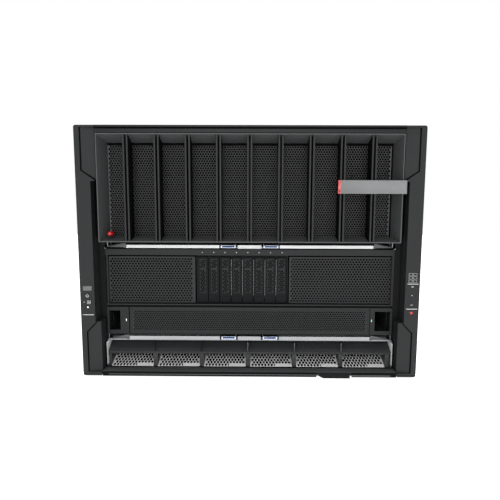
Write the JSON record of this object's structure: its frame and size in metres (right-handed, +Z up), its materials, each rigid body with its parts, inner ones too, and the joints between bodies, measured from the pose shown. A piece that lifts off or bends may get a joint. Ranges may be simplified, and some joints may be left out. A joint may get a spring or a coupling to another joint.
{
  "type": "gpu server",
  "caption": "Rack server for accelerator cards: finned perforated bezel sled over a compute node with upright drives, a thin tray and power intake bays.",
  "frame": {"origin": "middle of the width on the chassis underside, in the plane where the rack flanges seat", "axes": "+X to the viewer's right facing the bezel, +Y to the rear, +Z up"},
  "size_m": [0.4826, 0.906, 0.3588],
  "materials": {
    "galvanised_steel": "spangled zinc",
    "black_steel": "powder coat",
    "black_plastic": "fine grain",
    "lever_steel": "satin nickel",
    "blue_plastic": "satin",
    "red_plastic": "gloss",
    "badge_grey": "satin",
    "green_board": "solder mask",
    "heatsink_aluminium": "extruded",
    "lens_white": "frosted",
    "screw_steel": "zinc plated"
  },
  "bodies": {
    "chassis": {"chassis_tub": "galvanised_steel", "top_cover": "galvanised_steel", "front_frame": "black_steel", "fasteners": "screw_steel", "tray_shelves": "galvanised_steel", "intake_flaps": "black_plastic", "intake_screens": "galvanised_steel", "ear_left": "black_plastic", "ear_right": "black_plastic", "ear_indicators": "lens_white", "rack_brackets": "galvanised_steel", "rear_frame": "galvanised_steel", "midplane_board": "green_board", "power_supplies": "galvanised_steel", "fan_frames": "black_plastic"},
    "gpu_sled": {"gpu_tray": "galvanised_steel", "gpu_baseboard": "green_board", "gpu_modules": "heatsink_aluminium", "bezel_frame": "black_plastic", "bezel_fins": "black_plastic", "bezel_mesh": "black_steel", "badge_plate": "badge_grey"},
    "compute_node": {"compute_tray": "galvanised_steel", "compute_front": "black_steel", "vent_panels": "black_steel", "drive_cage": "galvanised_steel", "mainboard": "green_board", "cpu_heatsinks": "heatsink_aluminium", "memory_modules": "green_board"},
    "network_sled": {"network_tray": "galvanised_steel", "network_panel": "black_steel", "network_board": "green_board"},
    "power_button": {"power_button": "black_plastic"},
    "id_button": {"id_button": "black_plastic"},
    "label_card": {"label_card": "black_plastic"},
    "bezel_knob": {"bezel_knob": "red_plastic"},
    "gpu_lever_left": {"gpu_lever_left": "lever_steel"},
    "gpu_latch_left": {"gpu_latch_left": "blue_plastic"},
    "gpu_lever_right": {"gpu_lever_right": "lever_steel"},
    "gpu_latch_right": {"gpu_latch_right": "blue_plastic"},
    "compute_lever_left": {"compute_lever_left": "lever_steel"},
    "compute_latch_left": {"compute_latch_left": "blue_plastic"},
    "compute_lever_right": {"compute_lever_right": "lever_steel"},
    "compute_latch_right": {"compute_latch_right": "blue_plastic"},
    "drive_carrier_1": {"drive_carrier_1": "black_plastic"},
    "drive_carrier_2": {"drive_carrier_2": "black_plastic"},
    "drive_carrier_3": {"drive_carrier_3": "black_plastic"},
    "drive_carrier_4": {"drive_carrier_4": "black_plastic"},
    "drive_carrier_5": {"drive_carrier_5": "black_plastic"},
    "drive_carrier_6": {"drive_carrier_6": "black_plastic"},
    "drive_carrier_7": {"drive_carrier_7": "black_plastic"},
    "drive_carrier_8": {"drive_carrier_8": "black_plastic"},
    "fan_rotor_1": {"fan_rotor_1": "black_plastic"},
    "fan_rotor_2": {"fan_rotor_2": "black_plastic"},
    "fan_rotor_3": {"fan_rotor_3": "black_plastic"},
    "fan_rotor_4": {"fan_rotor_4": "black_plastic"},
    "fan_rotor_5": {"fan_rotor_5": "black_plastic"},
    "fan_rotor_6": {"fan_rotor_6": "black_plastic"},
    "fan_rotor_7": {"fan_rotor_7": "black_plastic"},
    "fan_rotor_8": {"fan_rotor_8": "black_plastic"}
  },
  "joints": [
    {"name": "gpu_sled_slide", "type": "slide", "parent": "chassis", "child": "gpu_sled", "axis": [0, -1, 0], "range_m": [0, 0.5]},
    {"name": "compute_node_slide", "type": "slide", "parent": "chassis", "child": "compute_node", "axis": [0, -1, 0], "range_m": [0, 0.45]},
    {"name": "network_sled_slide", "type": "slide", "parent": "compute_node", "child": "network_sled", "axis": [0, -1, 0], "range_m": [0, 0.35]},
    {"name": "label_card_slide", "type": "slide", "parent": "chassis", "child": "label_card", "axis": [0, -1, 0], "range_m": [0, 0.06]},
    {"name": "power_button_press", "type": "slide", "parent": "chassis", "child": "power_button", "axis": [0, 1, 0], "range_m": [0, 0.0012], "stiffness_N_per_m": 900},
    {"name": "id_button_press", "type": "slide", "parent": "chassis", "child": "id_button", "axis": [0, 1, 0], "range_m": [0, 0.0012], "stiffness_N_per_m": 900},
    {"name": "bezel_knob_press", "type": "slide", "parent": "gpu_sled", "child": "bezel_knob", "axis": [0, 1, 0], "range_m": [0, 0.003], "stiffness_N_per_m": 600},
    {"name": "drive_carrier_1_slide", "type": "slide", "parent": "compute_node", "child": "drive_carrier_1", "axis": [0, -1, 0], "range_m": [0, 0.13]},
    {"name": "drive_carrier_2_slide", "type": "slide", "parent": "compute_node", "child": "drive_carrier_2", "axis": [0, -1, 0], "range_m": [0, 0.13]},
    {"name": "drive_carrier_3_slide", "type": "slide", "parent": "compute_node", "child": "drive_carrier_3", "axis": [0, -1, 0], "range_m": [0, 0.13]},
    {"name": "drive_carrier_4_slide", "type": "slide", "parent": "compute_node", "child": "drive_carrier_4", "axis": [0, -1, 0], "range_m": [0, 0.13]},
    {"name": "drive_carrier_5_slide", "type": "slide", "parent": "compute_node", "child": "drive_carrier_5", "axis": [0, -1, 0], "range_m": [0, 0.13]},
    {"name": "drive_carrier_6_slide", "type": "slide", "parent": "compute_node", "child": "drive_carrier_6", "axis": [0, -1, 0], "range_m": [0, 0.13]},
    {"name": "drive_carrier_7_slide", "type": "slide", "parent": "compute_node", "child": "drive_carrier_7", "axis": [0, -1, 0], "range_m": [0, 0.13]},
    {"name": "drive_carrier_8_slide", "type": "slide", "parent": "compute_node", "child": "drive_carrier_8", "axis": [0, -1, 0], "range_m": [0, 0.13]},
    {"name": "gpu_lever_left_swing", "type": "hinge", "parent": "gpu_sled", "child": "gpu_lever_left", "pos_m": [-0.19, -0.003, 0.1852], "axis": [0, 0, -1], "range_deg": [0, 75]},
    {"name": "gpu_latch_left_squeeze", "type": "slide", "parent": "gpu_lever_left", "child": "gpu_latch_left", "axis": [1, 0, 0], "range_m": [0, 0.0022], "stiffness_N_per_m": 500},
    {"name": "gpu_lever_right_swing", "type": "hinge", "parent": "gpu_sled", "child": "gpu_lever_right", "pos_m": [0.19, -0.003, 0.1852], "axis": [0, 0, 1], "range_deg": [0, 75]},
    {"name": "gpu_latch_right_squeeze", "type": "slide", "parent": "gpu_lever_right", "child": "gpu_latch_right", "axis": [-1, 0, 0], "range_m": [0, 0.0022], "stiffness_N_per_m": 500},
    {"name": "compute_lever_left_swing", "type": "hinge", "parent": "compute_node", "child": "compute_lever_left", "pos_m": [-0.19, 0.001, 0.0474], "axis": [0, 0, -1], "range_deg": [0, 75]},
    {"name": "compute_latch_left_squeeze", "type": "slide", "parent": "compute_lever_left", "child": "compute_latch_left", "axis": [1, 0, 0], "range_m": [0, 0.0022], "stiffness_N_per_m": 500},
    {"name": "compute_lever_right_swing", "type": "hinge", "parent": "compute_node", "child": "compute_lever_right", "pos_m": [0.19, 0.001, 0.0474], "axis": [0, 0, 1], "range_deg": [0, 75]},
    {"name": "compute_latch_right_squeeze", "type": "slide", "parent": "compute_lever_right", "child": "compute_latch_right", "axis": [-1, 0, 0], "range_m": [0, 0.0022], "stiffness_N_per_m": 500},
    {"name": "fan_rotor_1_spin", "type": "hinge", "parent": "chassis", "child": "fan_rotor_1", "pos_m": [-0.159, 0.83, 0.22555], "axis": [0, 1, 0], "continuous": true},
    {"name": "fan_rotor_2_spin", "type": "hinge", "parent": "chassis", "child": "fan_rotor_2", "pos_m": [-0.053, 0.83, 0.22555], "axis": [0, 1, 0], "continuous": true},
    {"name": "fan_rotor_3_spin", "type": "hinge", "parent": "chassis", "child": "fan_rotor_3", "pos_m": [0.053, 0.83, 0.22555], "axis": [0, 1, 0], "continuous": true},
    {"name": "fan_rotor_4_spin", "type": "hinge", "parent": "chassis", "child": "fan_rotor_4", "pos_m": [0.159, 0.83, 0.22555], "axis": [0, 1, 0], "continuous": true},
    {"name": "fan_rotor_5_spin", "type": "hinge", "parent": "chassis", "child": "fan_rotor_5", "pos_m": [-0.159, 0.83, 0.30655], "axis": [0, 1, 0], "continuous": true},
    {"name": "fan_rotor_6_spin", "type": "hinge", "parent": "chassis", "child": "fan_rotor_6", "pos_m": [-0.053, 0.83, 0.30655], "axis": [0, 1, 0], "continuous": true},
    {"name": "fan_rotor_7_spin", "type": "hinge", "parent": "chassis", "child": "fan_rotor_7", "pos_m": [0.053, 0.83, 0.30655], "axis": [0, 1, 0], "continuous": true},
    {"name": "fan_rotor_8_spin", "type": "hinge", "parent": "chassis", "child": "fan_rotor_8", "pos_m": [0.159, 0.83, 0.30655], "axis": [0, 1, 0], "continuous": true}
  ]
}
